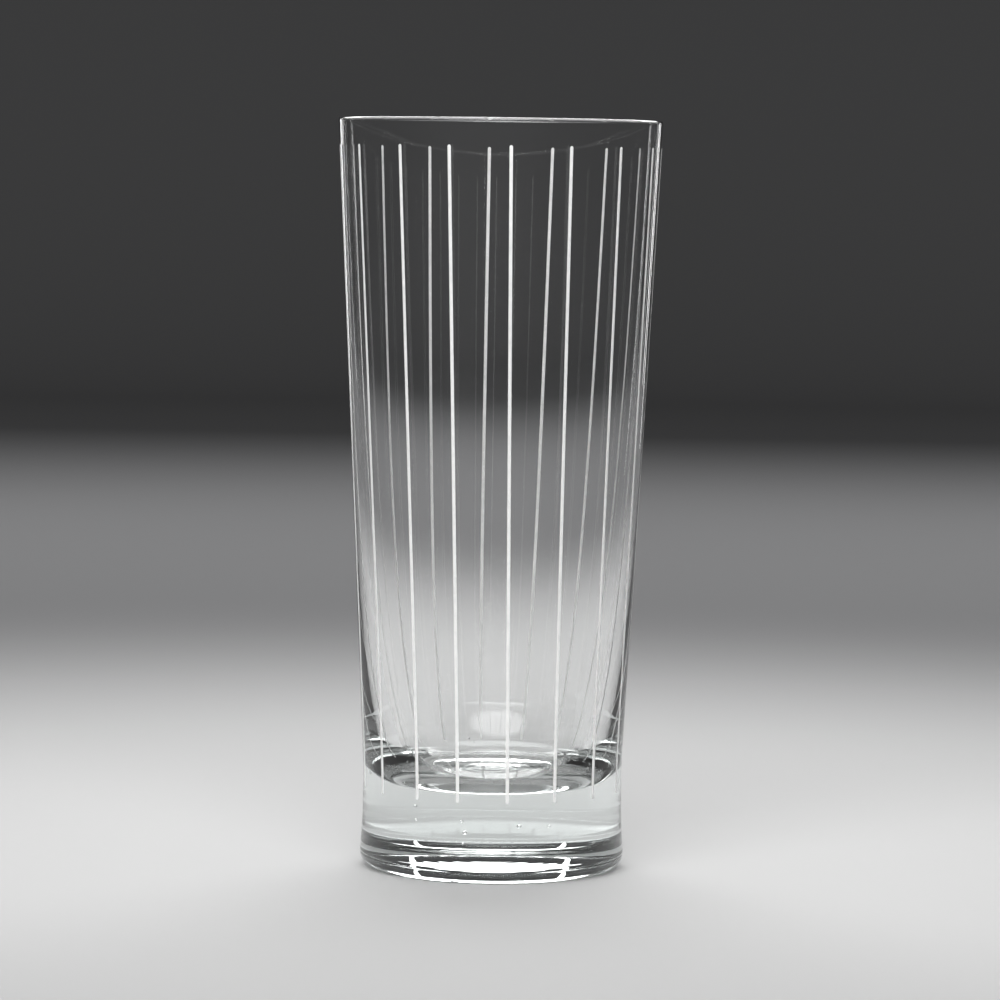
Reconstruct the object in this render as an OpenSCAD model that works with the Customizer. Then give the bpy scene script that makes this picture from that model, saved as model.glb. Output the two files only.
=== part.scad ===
// Highball glass: one blown glass body with a heavy base, and fired-on enamel lines.
// Lengths are in millimetres. The glass stands on z = 0 and its axis is +Z.

/* [Body] */
// Height from the table to the top of the rim
height = 155; // [130:1:180]
// Diameter of the outer wall at the rim
rim_d = 67; // [60:0.5:76]
// Diameter at the waist, the narrowest place, above the foot
waist_d = 53.8; // [50:0.2:58]
// Height of the waist above the table
waist_z = 17; // [12:0.5:22]
// Radius of the hollow sweep from the foot through the waist into the wall
flare_r = 180; // [140:5:260]

/* [Wall] */
// Thickness of the wall at the rim
rim_wall = 1.2; // [0.9:0.05:2]
// How much thicker the wall is where it meets the floor inside
wall_swell = 7.6; // [5:0.1:11]
// Height over which that extra thickness falls to about a third
swell_fade = 26; // [14:0.5:32]

/* [Base] */
// Height of the floor inside, which is the thickness of the base over the table
floor_z = 17.4; // [12:0.2:24]
// Height of the rounded corner between the floor and the wall
corner_h = 10; // [4:0.5:14]
// How far that corner reaches in over the floor
corner_w = 5; // [2:0.2:7]
// Diameter of the outer edge of the ring that the glass rests on
foot_ring_d = 48.2; // [42:0.2:50]
// Diameter of the hollow underneath, inside that ring
punt_d = 39; // [30:0.5:40]
// Height of the hollow underneath at its centre
punt_depth = 2.2; // [1:0.1:4]

/* [Lines] */
// Number of lines round the wall
line_count = 16; // [4:1:24]
// Width of a line
line_w = 0.7; // [0.4:0.05:1.5]
// Thickness of the enamel
line_t = 0.1; // [0.06:0.01:0.2]
// Height of the round lower end of each line above the table
line_low_z = 16.7; // [12:0.1:40]
// Bare glass between the upper ends of the lines and the rim
line_rim_gap = 5.5; // [3:0.1:40]
// Lean of each line to the left of the upright, seen from outside
line_lean_deg = 0.65; // [-1.5:0.05:1.5]
// Angle from the front to the first line
line_first_deg = 5; // [0:0.5:22]

/* [Hidden] */
// Straight steps in a quarter turn of a round edge, in the rounded corner and in the swelling wall
round_steps = 12;
corner_steps = 20;
wall_steps = 40;
// Facets in a full turn
$fn = 144;
// Overrun of a cut past the face that it cuts
overrun = 1;
// Drift of each line from its even place, as shares of the angle between two lines
drift_shares = [0, -0.04, -0.08, -0.1, -0.12, -0.14, -0.14, -0.06,
                0.02, 0.07, 0.1, 0.17, 0.24, 0.2, 0.18, 0.04];

rim_r = rim_d / 2;
waist_r = waist_d / 2;
foot_ring_r = foot_ring_d / 2;
punt_r = punt_d / 2;
line_high_z = height - line_rim_gap;
line_pitch_deg = 360 / line_count;

// Centre of the hollow sweep, which lies outside the glass at the waist's height
flare_x = waist_r + flare_r;
// The wall is the straight line from the rim that touches the sweep
rim_far = norm([rim_r - flare_x, height - waist_z]);
rim_turn = atan2(height - waist_z, rim_r - flare_x);
join_turn = rim_turn + acos(flare_r / rim_far);
join_r = flare_x + flare_r * cos(join_turn);
join_z = waist_z + flare_r * sin(join_turn);
wall_slope = (rim_r - join_r) / (height - join_z);

// The heel is the arc that touches both the table and the sweep
heel_r = ((flare_x - foot_ring_r) ^ 2 + waist_z ^ 2 - flare_r ^ 2) / (2 * (flare_r + waist_z));
heel_turn = atan2(waist_z - heel_r, flare_x - foot_ring_r);

// Radius of the outer surface at a height above the heel
function sweep_r(z) = flare_x - sqrt(flare_r ^ 2 - (z - waist_z) ^ 2);
function outer_r(z) = z > join_z ? join_r + wall_slope * (z - join_z) : sweep_r(z);

// Thickness of the wall and radius of the inner surface at a height above the floor
function wall_t(z) = rim_wall + wall_swell * exp(-(z - floor_z) / swell_fade);
function inner_r(z) = outer_r(z) - wall_t(z);

// Points on an arc about [x, z], from one angle to another
function arc(x, z, r, from, to, steps) =
    [for (i = [0 : steps]) let (a = from + (to - from) * i / steps) [x + r * cos(a), z + r * sin(a)]];

// Point of the rounded corner, a quarter of an ellipse laid against the wall, which it touches at 0
function corner_point(turn) = let (z = floor_z + corner_h * (1 - sin(turn)))
    [inner_r(z) - corner_w * (1 - cos(turn)), z];

// The round lip of the rim
lip_r = rim_wall / 2;
lip_z = height - lip_r;

// Radius of the dome underneath, from its width and its height
dome_r = (punt_r ^ 2 + punt_depth ^ 2) / (2 * punt_depth);

// Outer outline, from the resting ring up to the lip
heel_points = arc(foot_ring_r, heel_r, heel_r, -90, heel_turn, round_steps);
sweep_low_z = heel_r + heel_r * sin(heel_turn);
sweep_points = [for (i = [1 : round_steps])
    let (z = sweep_low_z + (join_z - sweep_low_z) * i / round_steps) [sweep_r(z), z]];
lip_points = arc(outer_r(lip_z) - lip_r, lip_z, lip_r, 0, 180, 2 * round_steps);

// Inner outline, from the lip down to the middle of the floor
cup_points = [for (i = [1 : wall_steps])
    let (z = lip_z + (floor_z + corner_h - lip_z) * i / wall_steps) [inner_r(z), z]];
corner_points = [for (i = [1 : corner_steps]) corner_point(90 * i / corner_steps)];

// The whole section of the glass, solid underneath
module body_section() {
    polygon(concat([[0, 0]], heel_points, sweep_points, lip_points, cup_points, corner_points,
        [[0, floor_z]]));
}

// The hollow underneath: a shallow dome
module punt() {
    intersection() {
        translate([0, 0, punt_depth - dome_r]) sphere(r = dome_r);
        translate([0, 0, -overrun]) cylinder(r = punt_r, h = punt_depth + 2 * overrun);
    }
}

module glass_body() {
    color([0.86, 0.93, 0.94, 0.4])
        difference() {
            rotate_extrude() body_section();
            punt();
        }
}

// A sleeve of the enamel's thickness, on the same outline as the wall that it lies on
module enamel_sleeve() {
    inside = concat(sweep_points, [[outer_r(lip_z), lip_z]]);
    outside = [for (i = [len(inside) - 1 : -1 : 0]) inside[i] + [line_t, 0]];
    rotate_extrude() polygon(concat(inside, outside));
}

// Outline of one line seen square on: a bar with round ends
module line_outline() {
    end_r = line_w / 2;
    run = line_high_z - line_low_z - line_w;
    square([line_w, run], center = true);
    for (side = [-1, 1])
        translate([0, side * run / 2]) circle(r = end_r, $fn = 32);
}

module enamel_line(i) {
    turn = line_first_deg + line_pitch_deg * (i + drift_shares[i % len(drift_shares)]);
    color("white")
        intersection() {
            enamel_sleeve();
            rotate([0, 0, turn])
                translate([0, 0, (line_high_z + line_low_z) / 2])
                    rotate([90, -line_lean_deg, 0])
                        linear_extrude(rim_d) line_outline();
        }
}

function line_name(i) = str("enamel_line_", i < 9 ? "0" : "", i + 1);

glass_body();
for (i = [0 : line_count - 1])
    enamel_line(i);
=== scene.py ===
"""A highball glass: a clear blown body with a heavy base, and white lines fired on its wall.

Lengths are in metres. The glass stands on z = 0 and its axis is +Z. Angles round the glass
are counted from its front, which faces -Y, towards +X.
"""
import logging
import math
from dataclasses import dataclass
from enum import Enum
from typing import Any, Optional, Union

import bpy
from mathutils import Euler, Matrix, Vector


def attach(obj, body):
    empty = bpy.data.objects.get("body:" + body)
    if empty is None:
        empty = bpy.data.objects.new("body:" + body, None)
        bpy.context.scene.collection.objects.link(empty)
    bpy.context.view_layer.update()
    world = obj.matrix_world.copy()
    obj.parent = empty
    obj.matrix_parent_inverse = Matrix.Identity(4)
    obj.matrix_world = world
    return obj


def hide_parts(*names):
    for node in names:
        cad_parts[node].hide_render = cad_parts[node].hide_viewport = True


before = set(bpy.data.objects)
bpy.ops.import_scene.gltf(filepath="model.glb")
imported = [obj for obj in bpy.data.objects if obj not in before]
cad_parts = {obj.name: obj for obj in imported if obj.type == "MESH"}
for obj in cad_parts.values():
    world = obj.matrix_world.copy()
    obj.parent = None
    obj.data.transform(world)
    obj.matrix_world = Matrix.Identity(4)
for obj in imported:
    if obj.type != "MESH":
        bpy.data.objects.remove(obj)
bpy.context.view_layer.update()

log = logging.getLogger("highball_glass")
Point = tuple[float, float]
Triple = tuple[float, float, float]
Colour = tuple[float, float, float, float]
Operand = Union["Value", float]

MM_PER_METRE = 1000
FULL_TURN_DEG = 360
WHITE: Colour = (1.0, 1.0, 1.0, 1.0)
ORIGIN: Triple = (0.0, 0.0, 0.0)
UP: Triple = (0.0, 0.0, 1.0)


class Face(Enum):
    """Which way a closed surface faces."""

    OUT = False
    IN = True


class Course(Enum):
    """How a fade goes from its start to its end."""

    EVEN = "LINEAR"
    EASED = "SMOOTHERSTEP"


class Sum(Enum):
    """The sums that a Value can write as Math nodes."""

    ADD = "ADD"
    MULTIPLY = "MULTIPLY"
    POWER = "POWER"
    SINE = "SINE"


class Value:
    """A shader socket that takes part in sums, each of which adds a Math node."""

    def __init__(self, shader: "Shader", socket: Optional[bpy.types.NodeSocket]) -> None:
        """Wrap an output socket of a shader, or None for a node that has no output."""
        self.shader = shader
        self.socket = socket

    def _sum(self, kind: Sum, first: Operand, second: Operand) -> "Value":
        """Add a Math node of one kind for two numbers or values, and return its result."""
        return self.shader.node("ShaderNodeMath", {"operation": kind.value}, {0: first, 1: second})

    def sine(self) -> "Value":
        """Return the sine of this value, in radians."""
        return self._sum(Sum.SINE, self, 0.0)

    def __add__(self, other: Operand) -> "Value":
        """Return this value plus another."""
        return self._sum(Sum.ADD, self, other)

    def __radd__(self, other: Operand) -> "Value":
        """Return a number plus this value."""
        return self._sum(Sum.ADD, other, self)

    def __mul__(self, other: Operand) -> "Value":
        """Return this value times another."""
        return self._sum(Sum.MULTIPLY, self, other)

    def __rmul__(self, other: Operand) -> "Value":
        """Return a number times this value."""
        return self._sum(Sum.MULTIPLY, other, self)

    def __pow__(self, other: Operand) -> "Value":
        """Return this value to a power."""
        return self._sum(Sum.POWER, self, other)

    def __rpow__(self, other: Operand) -> "Value":
        """Return a number to the power of this value."""
        return self._sum(Sum.POWER, other, self)


class Shader:
    """The node tree of one material, world or lamp, while it is being written."""

    MIX_SHARE = 0
    MIX_FIRST = 6
    MIX_SECOND = 7
    MIX_COLOUR = 2

    def __init__(self, owner: Union[bpy.types.Material, bpy.types.World, bpy.types.Light]) -> None:
        """Start an empty tree.

        Args:
            owner: The material, world or lamp that gets the nodes.
        """
        owner.use_nodes = True
        self.owner = owner
        self.tree = owner.node_tree
        self.tree.nodes.clear()

    def node(self, kind: str, settings: dict[str, Any], inputs: dict[Union[str, int], Any],
             output: Union[str, int] = 0) -> Value:
        """Add a node.

        Args:
            kind: The node's type.
            settings: The node's own settings, set first.
            inputs: A number, a colour or a Value for each socket that is set.
            output: The output that is returned.

        Returns:
            That output.
        """
        made = self.tree.nodes.new(kind)
        for name, setting in settings.items():
            setattr(made, name, setting)
        for name, given in inputs.items():
            if isinstance(given, Value):
                self.tree.links.new(given.socket, made.inputs[name])
            else:
                made.inputs[name].default_value = given
        return Value(self, made.outputs[output]) if len(made.outputs) else Value(self, None)

    def place(self) -> Value:
        """Return the Object coordinates."""
        return self.node("ShaderNodeTexCoord", {}, {}, "Object")

    def round_place(self) -> tuple[Value, Value]:
        """Find where a point of the glass lies.

        Returns:
            Its distance from the glass's axis and its height, in metres.
        """
        x = self.node("ShaderNodeSeparateXYZ", {}, {"Vector": self.place()}, "X")
        parts = x.socket.node.outputs
        y, z = Value(self, parts["Y"]), Value(self, parts["Z"])
        return (x * x + y * y) ** 0.5, z

    def noise(self, per_metre: Triple, layers: float) -> Value:
        """Return noise from 0 to 1, from its grains in a metre along X, Y and Z and its finer layers."""
        spread = self.node("ShaderNodeMapping", {}, {"Vector": self.place(), "Scale": per_metre})
        return self.node("ShaderNodeTexNoise", {}, {"Vector": spread, "Scale": 1.0, "Detail": layers})

    def fade(self, value: Value, start: float, end: float, course: Course = Course.EVEN) -> Value:
        """Stretch a value from 0 at its start to 1 at its end, and hold it there.

        Args:
            value: The value.
            start: What becomes 0.
            end: What becomes 1. It may be less than the start.
            course: How the value goes from one to the other.

        Returns:
            The stretched value.
        """
        span = {"Value": value, "From Min": start, "From Max": end}
        settings = {"clamp": True, "interpolation_type": course.value}
        return self.node("ShaderNodeMapRange", settings, span)

    def blend(self, share: Value, first: Colour, second: Colour) -> Value:
        """Return a mix of two colours, with the given share of the second."""
        given = {self.MIX_SHARE: share, self.MIX_FIRST: first, self.MIX_SECOND: second}
        return self.node("ShaderNodeMix", {"data_type": "RGBA"}, given, self.MIX_COLOUR)

    def bump(self, height: Value, depth: float) -> Value:
        """Return the normal of a height from 0 to 1, which stands for a depth of relief in metres."""
        return self.node("ShaderNodeBump", {}, {"Strength": 1.0, "Distance": depth, "Height": height})

    def finish(self, surface: Value, inside: Optional[Value] = None) -> None:
        """Add the output.

        Args:
            surface: The closing shader of the surface.
            inside: The closing shader of what the surface holds, if it isn't clear.
        """
        output = "Material"
        if isinstance(self.owner, bpy.types.World):
            output = "World"
        elif isinstance(self.owner, bpy.types.Light):
            output = "Light"
        ends = {"Surface": surface}
        if inside:
            ends["Volume"] = inside
        self.node(f"ShaderNodeOutput{output}", {}, ends)


@dataclass(frozen=True)
class ClearGlass:
    """Clear fire-polished glass: slow cords in the wall, chill rings on the floor inside, a scuffed foot."""

    skin: Colour = WHITE
    depth_tint: Colour = (0.86, 0.965, 0.94, 1.0)
    depth_per_metre: float = 7.0
    clear_share: float = 1.0
    ior: float = 1.52
    polish: float = 0.003
    smear: float = 0.03
    smears_per_metre: float = 38.0
    smear_layers: float = 5.0
    smear_range: Point = (0.52, 0.72)
    cord_depth: float = 0.00003
    cords_per_metre: Triple = (55.0, 55.0, 14.0)
    cord_layers: float = 1.5
    beads_per_metre: float = 420.0
    bead_layers: float = 1.0
    bead_share: float = 0.12
    bead_heights: Point = (0.05, 0.025)
    ring_gap: float = 0.0017
    ring_share: float = 0.16
    ring_heights: Point = (0.032, 0.024)
    ring_reach: Point = (0.0225, 0.02)
    scuff_heights: Point = (0.0004, 0.0001)
    scuff: float = 0.35
    scuffs_per_metre: float = 900.0
    scuff_layers: float = 4.0
    scuff_range: Point = (0.42, 0.62)

    def make(self) -> bpy.types.Material:
        """Write the glass's surface and the tint of what it holds.

        Returns:
            The material.
        """
        material = bpy.data.materials.new("clear_glass")
        shader = Shader(material)
        r, z = shader.round_place()
        cords = shader.noise(self.cords_per_metre, self.cord_layers)
        beads = shader.noise((self.beads_per_metre,) * 3, self.bead_layers)
        low_beads = beads * shader.fade(z, *self.bead_heights)
        near_floor = shader.fade(z, *self.ring_heights) * shader.fade(r, *self.ring_reach)
        rings = (r * (math.tau / self.ring_gap) + cords * math.tau).sine() * near_floor
        films = shader.noise((self.smears_per_metre,) * 3, self.smear_layers)
        smears = shader.fade(films, *self.smear_range)
        grit = shader.noise((self.scuffs_per_metre,) * 3, self.scuff_layers)
        scuffs = shader.fade(grit, *self.scuff_range) * shader.fade(z, *self.scuff_heights)
        roughness = self.polish + smears * self.smear + scuffs * self.scuff
        relief = cords + low_beads * self.bead_share + rings * self.ring_share
        surface = shader.node("ShaderNodeBsdfPrincipled", {}, {
            "Base Color": self.skin,
            "Roughness": roughness,
            "IOR": self.ior,
            "Transmission Weight": self.clear_share,
            "Normal": shader.bump(relief, self.cord_depth),
        })
        inside = shader.node("ShaderNodeVolumeAbsorption", {}, {
            "Color": self.depth_tint,
            "Density": self.depth_per_metre,
        })
        shader.finish(surface, inside)
        return material


@dataclass(frozen=True)
class WhiteEnamel:
    """White enamel, fired so thin that it glows when lit from behind, with a satin skin and pinholes."""

    full: Colour = (0.9, 0.9, 0.88, 1.0)
    thin: Colour = (0.79, 0.8, 0.795, 1.0)
    thin_range: Point = (0.45, 0.75)
    satin: float = 0.3
    satin_spread: float = 0.2
    glow_share: float = 1.0
    glow_spread: Triple = (1.0, 1.0, 1.0)
    glow_depth: float = 0.0004
    grain_depth: float = 0.000012
    grains_per_metre: float = 5200.0
    grain_layers: float = 3.0
    clouds_per_metre: float = 420.0
    cloud_layers: float = 4.0

    def make(self) -> bpy.types.Material:
        """Write the enamel's surface.

        Returns:
            The material.
        """
        material = bpy.data.materials.new("white_enamel")
        shader = Shader(material)
        grain = shader.noise((self.grains_per_metre,) * 3, self.grain_layers)
        clouds = shader.noise((self.clouds_per_metre,) * 3, self.cloud_layers)
        thinness = shader.fade(clouds, *self.thin_range)
        shader.finish(shader.node("ShaderNodeBsdfPrincipled", {}, {
            "Base Color": shader.blend(thinness, self.full, self.thin),
            "Roughness": self.satin + clouds * self.satin_spread,
            "Subsurface Weight": self.glow_share,
            "Subsurface Radius": self.glow_spread,
            "Subsurface Scale": self.glow_depth,
            "Normal": shader.bump(grain, self.grain_depth),
        }))
        return material


@dataclass(frozen=True)
class StudioPaper:
    """Matt paper, pale on the floor round the glass, with painted shade that grades it to grey away from the
    glass and up the backdrop.
    """

    pale: Colour = (0.5, 0.5, 0.5, 1.0)
    painted_shade_grey: Colour = (0.1, 0.1, 0.102, 1.0)
    painted_shade_reach: Point = (0.0, 0.6)
    roughness: float = 0.9
    gloss: float = 0.1

    def make(self) -> bpy.types.Material:
        """Write the paper's surface.

        Returns:
            The material.
        """
        material = bpy.data.materials.new("studio_paper_painted_shade")
        shader = Shader(material)
        r, _ = shader.round_place()
        # Painted shade: the paper darkens to grey from the glass's axis out to 0.6 m, as if no lamp lit the
        # floor and backdrop further out.
        painted_shade_share = shader.fade(r, *self.painted_shade_reach, Course.EASED)
        shader.finish(shader.node("ShaderNodeBsdfPrincipled", {}, {
            "Base Color": shader.blend(painted_shade_share, self.pale, self.painted_shade_grey),
            "Roughness": self.roughness,
            "Specular IOR Level": self.gloss,
        }))
        return material


class Bench:
    """Steps at the modelling bench that several pieces share."""

    WELD_GAP = 1e-7

    @staticmethod
    def lone_point(name: str) -> bpy.types.Object:
        """Add an object that holds one point at the origin, and open it in edit mode.

        Args:
            name: The object's name.

        Returns:
            The object.
        """
        bpy.ops.object.select_all(action="DESELECT")
        bpy.ops.mesh.primitive_plane_add(size=1.0, location=ORIGIN)
        piece = bpy.context.object
        piece.name = name
        bpy.ops.object.mode_set(mode="EDIT")
        bpy.ops.mesh.select_mode(type="VERT")
        bpy.ops.mesh.select_all(action="SELECT")
        bpy.ops.mesh.merge(type="CENTER")
        return piece

    @staticmethod
    def turn(name: str, outline: list[Point], steps: int) -> bpy.types.Object:
        """Draw an outline with a chain of extrusions, then spin it round the axis.

        Args:
            name: The object's name.
            outline: The radius and the height of each point.
            steps: How many steps the spin takes.

        Returns:
            The turned object.
        """
        piece = Bench.lone_point(name)
        bpy.ops.transform.translate(value=(outline[0][0], 0.0, outline[0][1]))
        for (r_from, z_from), (r_to, z_to) in zip(outline, outline[1:]):
            step = {"value": (r_to - r_from, 0.0, z_to - z_from)}
            bpy.ops.mesh.extrude_vertices_move(TRANSFORM_OT_translate=step)
        bpy.ops.mesh.select_all(action="SELECT")
        bpy.ops.mesh.spin(steps=steps, angle=math.tau, center=ORIGIN, axis=UP)
        bpy.ops.mesh.select_all(action="SELECT")
        bpy.ops.mesh.remove_doubles(threshold=Bench.WELD_GAP)
        bpy.ops.mesh.normals_make_consistent(inside=Face.OUT.value)
        bpy.ops.object.mode_set(mode="OBJECT")
        return piece

    @staticmethod
    def only(piece: bpy.types.Object) -> None:
        """Make one object the only selected and active one.

        Args:
            piece: The object.
        """
        bpy.ops.object.select_all(action="DESELECT")
        piece.select_set(True)
        bpy.context.view_layer.objects.active = piece

    @staticmethod
    def modify(piece: bpy.types.Object, kind: str, settings: dict[str, Any]) -> None:
        """Add a modifier and apply it.

        Args:
            piece: The object.
            kind: The modifier's type.
            settings: The modifier's settings.
        """
        Bench.only(piece)
        modifier = piece.modifiers.new(kind.lower(), kind)
        for name, setting in settings.items():
            setattr(modifier, name, setting)
        bpy.ops.object.modifier_apply(modifier=modifier.name)

    @staticmethod
    def soften(piece: bpy.types.Object, degrees: float) -> None:
        """Shade a piece smooth, apart from edges sharper than so many degrees."""
        Bench.only(piece)
        bpy.ops.object.shade_smooth_by_angle(angle=math.radians(degrees))

    @staticmethod
    def report(piece: bpy.types.Object) -> None:
        """Log a finished piece's name, size and number of faces."""
        size = " x ".join(f"{length * MM_PER_METRE:.1f}" for length in piece.dimensions)
        log.info("%s: %s mm, %d faces", piece.name, size, len(piece.data.polygons))


@dataclass
class Section:
    """The glass's outline, drawn from the same sizes as the frame's body.

    A ring of points lies close to each joint of a straight face and a round edge, so that smooth
    shading doesn't bend the view through the straight face.
    """

    height: float = 0.155
    rim_r: float = 0.0335
    waist_r: float = 0.0269
    waist_z: float = 0.017
    flare_r: float = 0.18
    rim_wall: float = 0.0012
    wall_swell: float = 0.0076
    swell_fade: float = 0.026
    floor_z: float = 0.0174
    corner_h: float = 0.01
    corner_w: float = 0.005
    foot_ring_r: float = 0.0241
    punt_r: float = 0.0195
    punt_depth: float = 0.0022
    edge_soft: float = 0.00015
    hold: float = 0.0001
    round_steps: int = 14
    fine_steps: int = 28
    cup_levels: int = 56

    def __post_init__(self) -> None:
        """Work out where the straight wall meets the sweep and the lip, and the heel's radius."""
        self.lip_z = self.height - self.rim_wall / 2
        self.flare_x = self.waist_r + self.flare_r
        away = Vector((self.rim_r - self.flare_x, self.height - self.waist_z))
        turn = math.atan2(away.y, away.x) + math.acos(self.flare_r / away.length)
        self.join_r = self.flare_x + self.flare_r * math.cos(turn)
        self.join_z = self.waist_z + self.flare_r * math.sin(turn)
        self.slope = (self.rim_r - self.join_r) / (self.height - self.join_z)
        across = self.flare_x - self.foot_ring_r
        reach = 2 * (self.flare_r + self.waist_z)
        self.heel_r = (across ** 2 + self.waist_z ** 2 - self.flare_r ** 2) / reach
        self.heel_turn = math.atan2(self.waist_z - self.heel_r, across)

    def outer_r(self, z: float) -> float:
        """Find the outer radius.

        Args:
            z: The height, which is above the heel.

        Returns:
            The radius there.
        """
        if z > self.join_z:
            return self.join_r + self.slope * (z - self.join_z)
        return self.flare_x - math.sqrt(self.flare_r ** 2 - (z - self.waist_z) ** 2)

    def inner_r(self, z: float) -> float:
        """Return the inner radius at a height above the floor."""
        swell = self.wall_swell * math.exp(-(z - self.floor_z) / self.swell_fade)
        return self.outer_r(z) - self.rim_wall - swell

    @staticmethod
    def arc(x: float, z: float, r: float, start: float, end: float, steps: int) -> list[Point]:
        """Return points on an arc about a centre (x, z), from one angle to another, in radians."""
        angles = [start + (end - start) * i / steps for i in range(steps + 1)]
        return [(x + r * math.cos(a), z + r * math.sin(a)) for a in angles]

    def outline(self) -> list[Point]:
        """Return the whole outline, from the middle underneath round to the middle of the floor."""
        return self._underside() + self._outside() + self._lip() + self._inside()

    def _outside(self) -> list[Point]:
        """Draw the outline from the resting ring to the rim's lip.

        Returns:
            The radius and the height of each point.
        """
        steps = self.round_steps
        heel = self.arc(self.foot_ring_r, self.heel_r, self.heel_r, -math.pi / 2, self.heel_turn, steps)
        low_z = heel[-1][1]
        rise = self.join_z - low_z
        sweep = [low_z + rise * i / self.fine_steps for i in range(1, self.fine_steps + 1)]
        wall = [self.join_z + (self.lip_z - self.join_z) * i / steps for i in range(1, steps)]
        levels = [low_z + self.hold] + sweep + wall + [self.lip_z - self.hold]
        ring = [(self.foot_ring_r - self.hold, 0.0)]
        return ring + heel + [(self.outer_r(z), z) for z in levels]

    def _lip(self) -> list[Point]:
        """Return the round lip, from the outside over to the inside."""
        r = self.rim_wall / 2
        return self.arc(self.outer_r(self.lip_z) - r, self.lip_z, r, 0.0, math.pi, self.fine_steps)

    def _inside(self) -> list[Point]:
        """Draw the outline from under the lip to the middle of the floor.

        Returns:
            The radius and the height of each point.
        """
        top_z = self.floor_z + self.corner_h
        drop = top_z - self.lip_z
        wall = [self.lip_z + drop * i / self.cup_levels for i in range(1, self.cup_levels)]
        turns = [math.pi / 2 * i / self.fine_steps for i in range(self.fine_steps + 1)]
        corner = [self._corner_point(turn) for turn in turns]
        flat_r = corner[-1][0]
        floor = [(flat_r - self.hold, self.floor_z)]
        floor += [(flat_r * (1 - i / self.round_steps), self.floor_z)
                  for i in range(1, self.round_steps + 1)]
        return [(self.inner_r(z), z) for z in wall + [top_z + self.hold]] + corner + floor

    def _corner_point(self, turn: float) -> Point:
        """Return a point of the corner, a quarter ellipse on the wall, at a turn in radians from it."""
        z = self.floor_z + self.corner_h * (1 - math.sin(turn))
        return self.inner_r(z) - self.corner_w * (1 - math.cos(turn)), z

    def _underside(self) -> list[Point]:
        """Draw the shallow dome underneath, from its middle to the resting ring.

        Returns:
            The radius and the height of each point.
        """
        r = (self.punt_r ** 2 + self.punt_depth ** 2) / (2 * self.punt_depth)
        z = self.punt_depth - r
        edge = math.acos(self.punt_r / r)
        brink = math.acos((self.punt_r - self.edge_soft) / r)
        dome = self.arc(0.0, z, r, math.pi / 2, brink, self.round_steps)
        return dome + [(self.punt_r, z + r * math.sin(edge)), (self.punt_r + self.edge_soft, 0.0)]


@dataclass(frozen=True)
class Seed:
    """A tiny bubble of air that stayed in the glass."""

    place: Triple
    r: float
    stretch: float = 1.35
    segments: int = 20
    rings: int = 10

    def blow(self) -> bpy.types.Object:
        """Model the bubble's skin, which faces the air inside it.

        Returns:
            The skin.
        """
        bpy.ops.object.select_all(action="DESELECT")
        bpy.ops.mesh.primitive_uv_sphere_add(segments=self.segments, ring_count=self.rings,
                                             radius=self.r, location=self.place)
        bubble = bpy.context.object
        bubble.scale.z = self.stretch
        bpy.ops.object.transform_apply(location=True, rotation=True, scale=True)
        bpy.ops.object.mode_set(mode="EDIT")
        bpy.ops.mesh.select_all(action="SELECT")
        bpy.ops.mesh.normals_make_consistent(inside=Face.IN.value)
        bpy.ops.object.mode_set(mode="OBJECT")
        return bubble


@dataclass
class GlassBody:
    """The blown body: wall, lip, heavy base, and the seeds of air inside the base."""

    section: Section
    spin_steps: int = 256
    smooth_deg: float = 35.0
    seeds: tuple[Seed, ...] = (
        Seed((-0.0052, -0.0150, 0.0118), 0.00026),
        Seed((-0.0046, -0.0145, 0.0094), 0.00038),
        Seed((-0.0049, -0.0140, 0.0071), 0.00020),
        Seed((-0.0125, -0.0090, 0.0112), 0.00018),
        Seed((0.0085, -0.0040, 0.0098), 0.00022),
        Seed((0.0030, 0.0110, 0.0082), 0.00028),
        Seed((-0.0080, 0.0120, 0.0120), 0.00019),
        Seed((-0.0060, 0.0215, 0.0188), 0.00020),
        Seed((-0.0048, 0.0210, 0.0180), 0.00015),
        Seed((0.0032, 0.0212, 0.0186), 0.00018),
    )

    def build(self, finish: bpy.types.Material) -> bpy.types.Object:
        """Model the body and put it in the frame's place.

        Args:
            finish: The glass.

        Returns:
            The body.
        """
        body = Bench.turn("blown_body", self.section.outline(), self.spin_steps)
        bubbles = [seed.blow() for seed in self.seeds]
        Bench.only(body)
        for bubble in bubbles:
            bubble.select_set(True)
        bpy.ops.object.join()
        Bench.soften(body, self.smooth_deg)
        body.data.materials.append(finish)
        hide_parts("glass_body")
        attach(body, "root")
        return body


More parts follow.
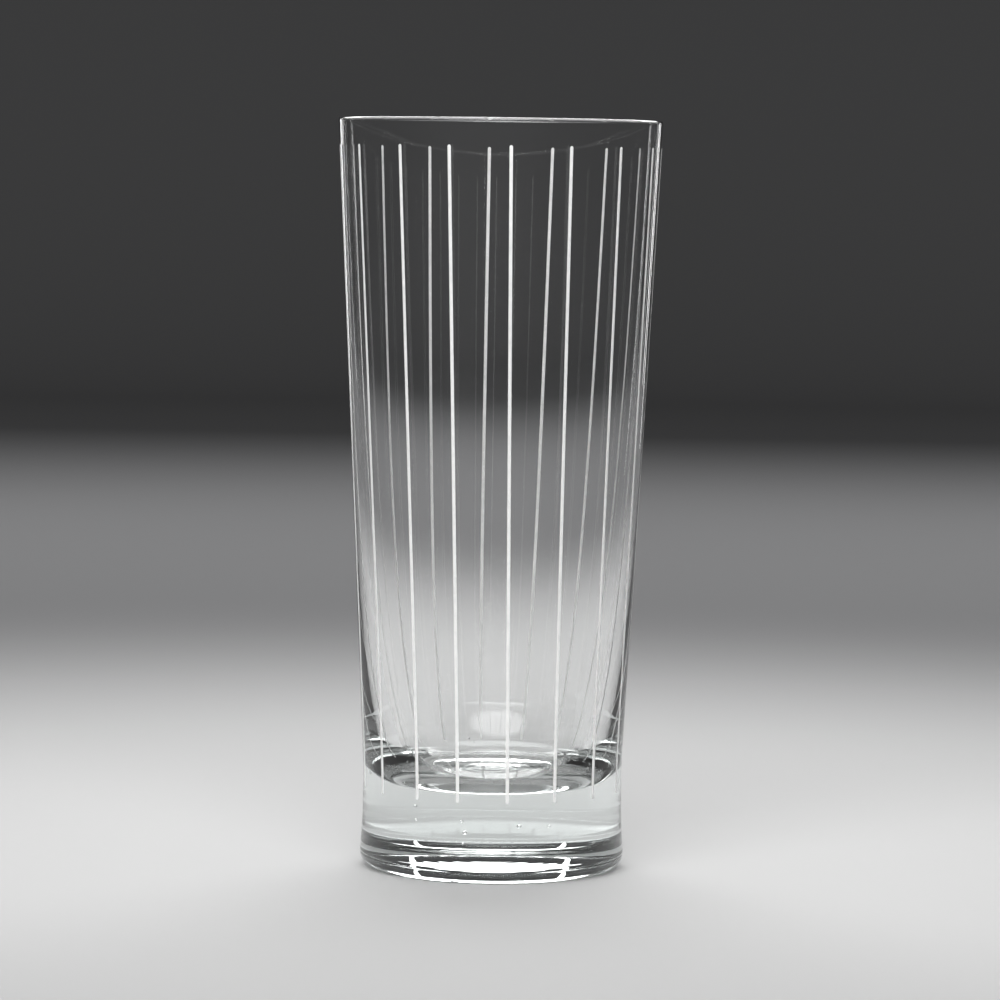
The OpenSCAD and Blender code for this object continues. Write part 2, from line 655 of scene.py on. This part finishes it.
@dataclass
class EnamelLines:
    """The upright lines fired on the wall, each a low bar with round ends."""

    body: bpy.types.Object
    count: int = 16
    width: float = 0.0007
    proud: float = 0.0001
    sunk: float = 0.00002
    low_z: float = 0.0167
    high_z: float = 0.1495
    lean_deg: float = 0.65
    first_deg: float = 5.0
    drift_shares: tuple[float, ...] = (0, -0.04, -0.08, -0.1, -0.12, -0.14, -0.14, -0.06,
                                       0.02, 0.07, 0.1, 0.17, 0.24, 0.2, 0.18, 0.04)
    cuts: int = 30
    end_steps: int = 6
    weld_gap: float = 0.0000007
    standoff_share: float = 2.0
    edge_round: float = 0.00005
    edge_steps: int = 3
    edge_deg: float = 60.0
    smooth_deg: float = 50.0

    def _blank(self) -> bpy.types.Object:
        """Cut a flat bar with round ends, standing in front of the glass.

        Returns:
            The bar.
        """
        bpy.ops.object.select_all(action="DESELECT")
        bpy.ops.mesh.primitive_plane_add(size=1.0, rotation=(math.pi / 2, 0.0, 0.0))
        bar = bpy.context.object
        bar.scale = (self.width, self.high_z - self.low_z, 1.0)
        bpy.ops.object.transform_apply(location=False, rotation=True, scale=True)
        bpy.ops.object.mode_set(mode="EDIT")
        bpy.ops.mesh.select_all(action="SELECT")
        bpy.ops.mesh.bevel(offset=self.width / 2, segments=self.end_steps, affect="VERTICES")
        bpy.ops.mesh.select_all(action="SELECT")
        bpy.ops.mesh.remove_doubles(threshold=self.weld_gap)
        run = self.high_z - self.low_z - self.width
        for i in range(self.cuts + 1):
            bpy.ops.mesh.select_all(action="SELECT")
            place = (0.0, 0.0, run * (i / self.cuts - 0.5))
            bpy.ops.mesh.bisect(plane_co=place, plane_no=UP)
        bpy.ops.object.mode_set(mode="OBJECT")
        bar.rotation_euler = (0.0, -math.radians(self.lean_deg), 0.0)
        standoff = self.standoff_share * self.body.dimensions.x
        bar.location = (0.0, -standoff, (self.high_z + self.low_z) / 2)
        bpy.ops.object.transform_apply(location=True, rotation=True, scale=True)
        return bar

    def _first(self) -> bpy.types.Object:
        """Wrap the bar on the wall, thicken it and round its edges.

        Returns:
            The finished line at the front of the wall.
        """
        bar = self._blank()
        wrap = {"target": self.body, "wrap_method": "PROJECT", "use_project_y": True,
                "use_positive_direction": True, "use_negative_direction": False}
        Bench.modify(bar, "SHRINKWRAP", wrap)
        bar.location.y = self.sunk
        bpy.ops.object.transform_apply(location=True)
        thick = {"thickness": self.proud + self.sunk, "offset": 1.0, "use_even_offset": True}
        Bench.modify(bar, "SOLIDIFY", thick)
        crown = {"width": self.edge_round, "segments": self.edge_steps, "limit_method": "ANGLE",
                 "angle_limit": math.radians(self.edge_deg)}
        Bench.modify(bar, "BEVEL", crown)
        Bench.soften(bar, self.smooth_deg)
        return bar

    def build(self, finish: bpy.types.Material) -> list[bpy.types.Object]:
        """Model one line, copy it round the wall and put each in the frame's place.

        Args:
            finish: The enamel.

        Returns:
            The lines.
        """
        first = self._first()
        first.data.materials.append(finish)
        lines = []
        for i in range(self.count):
            Bench.only(first)
            bpy.ops.object.duplicate(linked=False)
            line = bpy.context.object
            turn = self.first_deg + FULL_TURN_DEG / self.count * (i + self.drift_shares[i])
            line.rotation_euler = (0.0, 0.0, math.radians(turn))
            bpy.ops.object.transform_apply(rotation=True)
            line.name = f"fired_line_{i + 1:02d}"
            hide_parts(f"enamel_line_{i + 1:02d}")
            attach(line, "root")
            lines.append(line)
        bpy.data.objects.remove(first)
        return lines


@dataclass(frozen=True)
class Softbox:
    """A soft lamp that points at the glass, brightest in the middle and dark at its edge."""

    name: str
    place: Triple
    width: float
    height: float
    watts: float
    core_share: float
    edge_share: float = 0.5

    def hang(self, aim: Vector) -> None:
        """Hang the lamp.

        Args:
            aim: The point that it faces.
        """
        bpy.ops.object.select_all(action="DESELECT")
        bpy.ops.object.light_add(type="AREA", location=self.place)
        lamp = bpy.context.object
        lamp.name = self.name
        lamp.rotation_euler = (aim - Vector(self.place)).to_track_quat("-Z", "Y").to_euler()
        lamp.data.shape = "RECTANGLE"
        lamp.data.size = self.width
        lamp.data.size_y = self.height
        lamp.data.energy = self.watts
        lamp.visible_camera = False
        self._diffuse(lamp.data)

    def _diffuse(self, lamp: bpy.types.Light) -> None:
        """Fade the lamp's cloth from its bright core to its edge.

        Args:
            lamp: The lamp.
        """
        shader = Shader(lamp)
        cloth = shader.node("ShaderNodeNewGeometry", {}, {}, "Parametric")
        middle = (self.edge_share, self.edge_share, 0.0)
        off = shader.node("ShaderNodeVectorMath", {"operation": "DISTANCE"}, {0: cloth, 1: middle}, "Value")
        glow = shader.fade(off, self.edge_share, self.core_share)
        shader.finish(shader.node("ShaderNodeEmission", {}, {"Strength": glow}))


@dataclass
class Studio:
    """Floor and round backdrop, lamps, sky and camera."""

    glass_height: float
    backdrop_r: float = 2.4
    cove_r: float = 0.5
    cove_steps: int = 16
    backdrop_top: float = 2.2
    backdrop_steps: int = 96
    smooth_deg: float = 60.0
    sky: float = 0.35
    camera_far: float = 0.9
    camera_high: float = 0.14277
    focal_px: float = 4352.5
    frame_px: float = 1000.0
    sensor_mm: float = 36.0
    yaw: float = 0.00095
    pitch: float = 0.07361
    roll: float = 0.01317

    def build(self) -> None:
        """Build the whole studio."""
        self._backdrop()
        self._lamps()
        self._sky()
        self._camera()

    def _backdrop(self) -> None:
        """Spin the floor, its cove and the wall round the glass."""
        flat = self.backdrop_r - self.cove_r
        outline = [(0.0, 0.0), (flat, 0.0)]
        outline += Section.arc(flat, self.cove_r, self.cove_r, -math.pi / 2, 0.0, self.cove_steps)[1:]
        outline += [(self.backdrop_r, self.backdrop_top)]
        backdrop = Bench.turn("studio_backdrop", outline, self.backdrop_steps)
        Bench.soften(backdrop, self.smooth_deg)
        backdrop.data.materials.append(StudioPaper().make())

    def _lamps(self) -> None:
        """Hang the softboxes."""
        aim = Vector((0.0, 0.0, self.glass_height / 2))
        boxes = (
            Softbox("front_panel", place=(-0.2, -1.5, 1.15), width=3.0, height=1.6, watts=88.0,
                    core_share=0.3),
            Softbox("top_softbox", place=(0.0, 0.15, 1.35), width=0.9, height=0.9, watts=5.0,
                    core_share=0.25),
            Softbox("back_panel", place=(0.05, 1.05, 0.75), width=2.2, height=0.7, watts=30.0,
                    core_share=0.4),
            Softbox("left_strip", place=(-0.42, 1.0, 0.25), width=0.05, height=0.6, watts=0.4,
                    core_share=0.4),
            Softbox("right_strip", place=(0.44, 0.98, 0.25), width=0.045, height=0.6, watts=0.28,
                    core_share=0.4),
        )
        for box in boxes:
            box.hang(aim)

    def _sky(self) -> None:
        """Light the open top of the studio evenly."""
        world = bpy.data.worlds.new("studio_sky")
        bpy.context.scene.world = world
        shader = Shader(world)
        shader.finish(shader.node("ShaderNodeBackground", {}, {
            "Color": WHITE,
            "Strength": self.sky,
        }))

    def _camera(self) -> None:
        """Place the camera as the photograph's was."""
        bpy.ops.object.camera_add()
        camera = bpy.context.object
        camera.name = "photo_camera"
        look = Euler((math.pi / 2 - self.pitch, 0.0, -self.yaw)).to_matrix()
        turn = (look @ Matrix.Rotation(self.roll, 3, "Z")).to_4x4()
        camera.matrix_world = Matrix.Translation((0.0, -self.camera_far, self.camera_high)) @ turn
        camera.data.sensor_width = self.sensor_mm
        camera.data.lens = self.focal_px * self.sensor_mm / self.frame_px
        bpy.context.scene.camera = camera
        bpy.context.scene.view_settings.view_transform = "Standard"


def main() -> None:
    """Build the studio and the glass."""
    logging.basicConfig(level=logging.INFO, format="%(name)s: %(message)s")
    section = Section()
    Studio(section.height).build()
    body = GlassBody(section).build(ClearGlass().make())
    lines = EnamelLines(body).build(WhiteEnamel().make())
    for piece in [body] + lines:
        Bench.report(piece)


if __name__ == "__main__":
    main()
